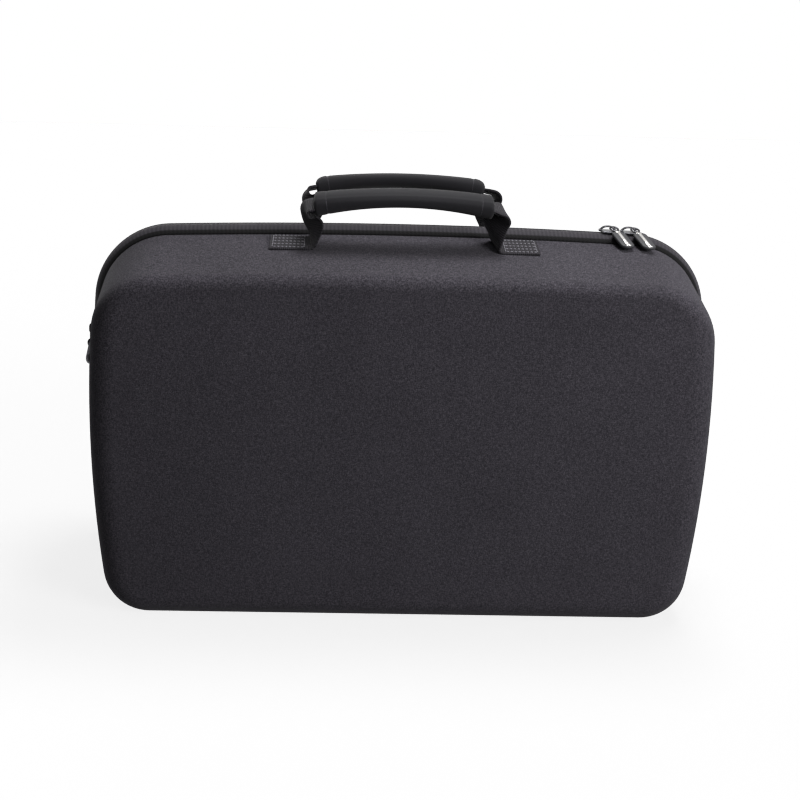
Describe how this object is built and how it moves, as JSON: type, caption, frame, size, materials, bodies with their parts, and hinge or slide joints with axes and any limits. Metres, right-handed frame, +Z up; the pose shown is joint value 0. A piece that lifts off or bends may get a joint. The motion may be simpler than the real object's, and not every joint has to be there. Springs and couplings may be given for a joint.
{
  "type": "console storage case",
  "caption": "Zipped hard clamshell case with padded webbing carry handles, shoulder strap rings, a net pocket in the lid and straps inside.",
  "frame": {"origin": "on the floor under the middle of the standing, closed case, in the parting plane of its two shells", "axes": "+X along the width to the right as seen from the front, +Y to the rear, +Z up; the lid faces -Y"},
  "size_m": [0.484, 0.178, 0.3193],
  "materials": {
    "shell_cloth": "fine woven melange laminated over moulded foam",
    "zip_tape": "ribbed reverse coil tape",
    "zip_coil": "moulded nylon",
    "binding": "woven binding tape",
    "webbing": "flat woven webbing",
    "sleeve_cloth": "padded woven cloth",
    "slider_metal": "bright nickel",
    "ring_metal": "dull nickel wire",
    "pull_rubber": "soft moulded rubber",
    "pocket_net": "open knitted net"
  },
  "bodies": {
    "base": {"rear_shell": "shell_cloth", "rear_zip_tape": "zip_tape", "rear_zip_coil": "zip_coil", "rear_left_stop": "zip_coil", "rear_right_stop": "zip_coil", "rear_left_binding": "binding", "rear_right_binding": "binding", "rear_handle_strap": "webbing", "rear_handle_sleeve": "sleeve_cloth", "left_ring_tab": "webbing", "right_ring_tab": "webbing", "hinge_spine": "binding", "left_console_strap": "webbing", "right_console_strap": "webbing"},
    "lid": {"front_shell": "shell_cloth", "front_zip_tape": "zip_tape", "front_zip_coil": "zip_coil", "front_left_stop": "zip_coil", "front_right_stop": "zip_coil", "front_left_binding": "binding", "front_right_binding": "binding", "front_handle_strap": "webbing", "front_handle_sleeve": "sleeve_cloth", "mesh_pocket": "pocket_net", "pocket_binding": "binding"},
    "left_slider": {"left_slider": "slider_metal"},
    "right_slider": {"right_slider": "slider_metal"},
    "left_pull": {"left_pull_spine": "slider_metal", "left_pull_grip": "pull_rubber"},
    "right_pull": {"right_pull_spine": "slider_metal", "right_pull_grip": "pull_rubber"},
    "left_ring": {"left_d_ring": "ring_metal"},
    "right_ring": {"right_d_ring": "ring_metal"}
  },
  "joints": [
    {"name": "lid_hinge", "type": "hinge", "parent": "base", "child": "lid", "pos_m": [0, 0, 0], "axis": [1, 0, 0], "range_deg": [0, 175], "deforming": ["hinge_spine"]},
    {"name": "left_slider_travel", "type": "hinge", "parent": "lid", "child": "left_slider", "pos_m": [0, 0, -4.222], "axis": [0, -1, 0], "range_deg": [0, 0.75]},
    {"name": "right_slider_travel", "type": "hinge", "parent": "lid", "child": "right_slider", "pos_m": [0.17239, 0, 0.22066], "axis": [0, 1, 0], "range_deg": [0, 80]},
    {"name": "left_pull_swing", "type": "hinge", "parent": "left_slider", "child": "left_pull", "pos_m": [0.15528, 0, 0.28342], "axis": [0, -1, 0], "range_deg": [0, 95]},
    {"name": "right_pull_swing", "type": "hinge", "parent": "right_slider", "child": "right_pull", "pos_m": [0.17131, 0, 0.28284], "axis": [0, -1, 0], "range_deg": [0, 95]},
    {"name": "left_ring_swing", "type": "hinge", "parent": "base", "child": "left_ring", "pos_m": [-0.23472, 0.01862, 0.18418], "axis": [0.2756, 0.9613, 0], "range_deg": [0, 150]},
    {"name": "right_ring_swing", "type": "hinge", "parent": "base", "child": "right_ring", "pos_m": [0.23472, 0.01862, 0.18418], "axis": [0.2756, -0.9613, 0], "range_deg": [0, 150]}
  ]
}
